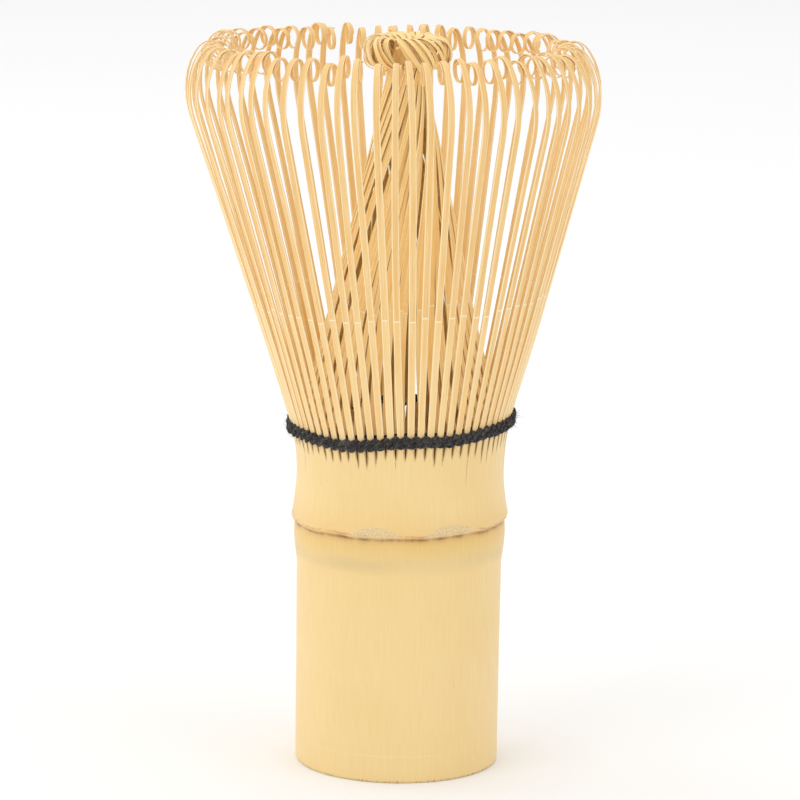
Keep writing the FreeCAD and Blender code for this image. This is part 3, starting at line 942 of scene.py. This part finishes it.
def strip_material(name, face, warm, pale_edge, side, skin_line, line_scatter):
    """Split bamboo: smooth skin below a faint line across each strip, and grain above it. The
    line is skin_line from the root, give or take half of line_scatter."""
    s = Shader(name)
    place = s.attribute("strip", "Vector")
    _, along, _ = s.split(place)
    tint = s.attribute("tint")
    facet = s.attribute("facet")
    fibre = s.grain(place, (7.0, 0.12, 1.0), 4.0, 0.62)
    fine = s.grain(place, (22.0, 0.35, 1.0), 2.0, 0.6)
    drift = s.grain(place, (0.0, 0.05, 1.3), 2.0, 0.5)
    colour = s.mix(s.ease(drift, 0.35, 0.7), face, warm)
    colour = s.mix(s.ease(tint, 0.55, 1.0, 0.0, 0.4), colour, warm)
    colour = s.mix(s.ease(fibre, 0.5, 0.74, 0.0, 0.5), colour, side)
    colour = s.mix(s.ease(fibre, 0.46, 0.28, 0.0, 0.4), colour, pale_edge)
    colour = s.mix(s.ease(fine, 0.56, 0.8, 0.0, 0.3), colour, side)
    # the chamfers are paler: the cut wood's colour with a painted highlight along each edge
    bevel = s.times(s.ease(facet, 0.3, 0.45), s.ease(facet, 0.8, 0.6))
    colour = s.mix(s.times(bevel, 0.9), colour, pale_edge)
    # painted warm shade: the split sides, which face the next strips, take much of the darker
    # orange side colour
    colour = s.mix(s.ease(facet, 0.8, 0.95, 0.0, 0.55), colour, side)
    # where the skin was shaved off
    offset = s.times(s.math("SUBTRACT", tint, 0.5), line_scatter)
    from_line = s.math("SUBTRACT", along, s.math("ADD", offset, skin_line))
    mark = s.times(s.ease(s.math("ABSOLUTE", from_line), 0.16, 0.04), s.ease(facet, 0.7, 0.6))
    shaved = s.ease(from_line, -0.1, 0.1, 0.08, 0.36)
    above = s.times(shaved, s.ease(fibre, 0.3, 0.6, 0.35, 1.0))
    above = s.times(above, s.ease(facet, 0.3, 0.1))
    colour = s.mix(above, colour, side)
    colour = s.mix(s.times(mark, 0.8), colour, tone(255, 240, 205))
    s.feed(s.surface.inputs["Base Color"], colour)
    s.feed(s.surface.inputs["Roughness"], s.ease(fibre, 0.3, 0.75, 0.42, 0.62))
    s.surface.inputs["Specular IOR Level"].default_value = 0.35
    relief = s.math("ADD", fibre, s.times(fine, 0.5))
    s.bump(relief, 0.4, 0.00006)
    return s.material


def thread_material():
    """Black cotton: dark between its fibres, greyer in some patches and blacker in others."""
    s = Shader("black_cotton")
    place = s.attribute("yarn", "Vector")
    fibre = s.grain(place, (5.0, 9.0, 3.0), 3.0, 0.7)
    patchy = s.grain(place, (0.5, 0.35, 2.0), 2.0, 0.5)
    colour = s.mix(s.ease(fibre, 0.4, 0.64), tone(5, 5, 6), tone(98, 93, 90))
    colour = s.mix(s.ease(patchy, 0.5, 0.3, 0.0, 0.6), colour, tone(8, 8, 9))
    colour = s.mix(s.ease(patchy, 0.52, 0.72, 0.0, 0.6), colour, tone(122, 117, 113))
    s.feed(s.surface.inputs["Base Color"], colour)
    s.feed(s.surface.inputs["Roughness"], s.ease(fibre, 0.3, 0.7, 0.72, 0.95))
    s.surface.inputs["Specular IOR Level"].default_value = 0.15
    s.surface.inputs["Sheen Weight"].default_value = 0.12
    s.surface.inputs["Sheen Roughness"].default_value = 0.5
    s.bump(fibre, 0.7, 0.00008)
    return s.material


def floor_material():
    s = Shader("pale_floor")
    cloudy = s.noise(s.node("ShaderNodeTexCoord").outputs["Object"], 3.0, 2.0, 0.5)
    colour = s.mix(cloudy, (0.93, 0.93, 0.93, 1), (0.95, 0.95, 0.95, 1))
    s.feed(s.surface.inputs["Base Color"], colour)
    s.surface.inputs["Roughness"].default_value = 0.9
    s.surface.inputs["Specular IOR Level"].default_value = 0.1
    return s.material


# ---------------------------------------------------------------------------------- the whisk
culm = build_culm(culm_material())
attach(culm, "culm")
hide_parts("handle")

# each look's fourth colour, deepened to orange, is the grain's and the shaved part's colour and,
# on the split sides, painted warm shade
outer_look = strip_material(
    "outer_bamboo", tone(249, 217, 156), tone(244, 204, 136), tone(255, 234, 188),
    tone(226, 170, 92), 19.5, 0.7,
)
inner_look = strip_material(
    "inner_bamboo", tone(254, 226, 160), tone(250, 214, 138), tone(255, 238, 190),
    tone(233, 173, 86), 18.8, 1.0,
)
for group, node in enumerate(OUTER_NODES):
    strips = Strips()
    for i in range(OUTER_PER_NODE):
        at_edge = i in (0, OUTER_PER_NODE - 1)
        azimuth = (group * OUTER_PER_NODE + i + 0.5) * PITCH
        outer_strip(strips, azimuth, EDGE_STRAY if at_edge else 1.0)
    piece = strips.build(node + "_strips", outer_look)
    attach(piece, node)
    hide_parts(node)

for group, node in enumerate(INNER_NODES):
    strips = Strips()
    for i in range(INNER_PER_NODE):
        inner_strip(strips, group * INNER_PER_NODE + i)
    piece = strips.build(node + "_strips", inner_look)
    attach(piece, "culm")
    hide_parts(node)

cotton = thread_material()
for piece, node in build_rows(cotton) + [build_spacer(cotton), build_knot(cotton)]:
    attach(piece, "culm")
    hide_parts(node)

# ------------------------------------------------------------------------- floor, light, camera
FLOOR_REACH = 6000
floor_corners = [
    (x * FLOOR_REACH, y * FLOOR_REACH, 0) for x, y in ((-1, -1), (1, -1), (1, 1), (-1, 1))
]
floor = mesh_object("floor", floor_corners, [(0, 1, 2, 3)], smooth_shading=False)
floor.data.materials.append(floor_material())

scene = bpy.context.scene
scene.view_settings.view_transform = "Standard"
world = bpy.data.worlds.new("studio")
scene.world = world
world.use_nodes = True
STUDIO_STRENGTH = 0.64
surroundings = world.node_tree.nodes["Background"]
surroundings.inputs["Color"].default_value = (1, 1, 1, 1)
surroundings.inputs["Strength"].default_value = STUDIO_STRENGTH


def softbox(name, place, aim, size, power):
    """An oblong lamp at a place, turned to an aim; sizes in metres and power in watts."""
    lamp = bpy.data.lights.new(name, "AREA")
    lamp.shape = "RECTANGLE"
    lamp.size, lamp.size_y = size
    lamp.energy = power
    obj = bpy.data.objects.new(name, lamp)
    scene.collection.objects.link(obj)
    obj.location = place
    obj.rotation_euler = (Vector(aim) - Vector(place)).to_track_quat("-Z", "Y").to_euler()


middle = (cad_box[0] + cad_box[1]) / 2
softbox("key", (-0.7, -0.68, 0.52), middle, (0.7, 0.7), 2.1)
softbox("fill", (0.8, -0.5, 0.3), middle, (0.6, 0.8), 1.2)
softbox("edge", (-0.8, 0.35, 0.35), middle, (0.6, 0.8), 1.2)
softbox("top", (0.0, 0.6, 1.6), (0.0, 0.6, 0.0), (3.0, 3.0), 20.0)

# the camera's place in metres, its turns, and its lens and sensor in millimetres
CAMERA_ASIDE = -0.0002
CAMERA_DISTANCE = 0.6
CAMERA_RISE = 0.169
CAMERA_PITCH = math.radians(10.82)
CAMERA_ROLL = math.radians(0.85)
LENS, SENSOR = 186.3, 36.0
lens = bpy.data.cameras.new("camera")
lens.lens = LENS
lens.sensor_width = SENSOR
camera = bpy.data.objects.new("camera", lens)
scene.collection.objects.link(camera)
camera.matrix_world = (
    Matrix.Translation((CAMERA_ASIDE, -CAMERA_DISTANCE, CAMERA_RISE))
    @ Matrix.Rotation(math.pi / 2 - CAMERA_PITCH, 4, "X")
    @ Matrix.Rotation(CAMERA_ROLL, 4, "Z")
)
scene.camera = camera

bpy.context.view_layer.update()
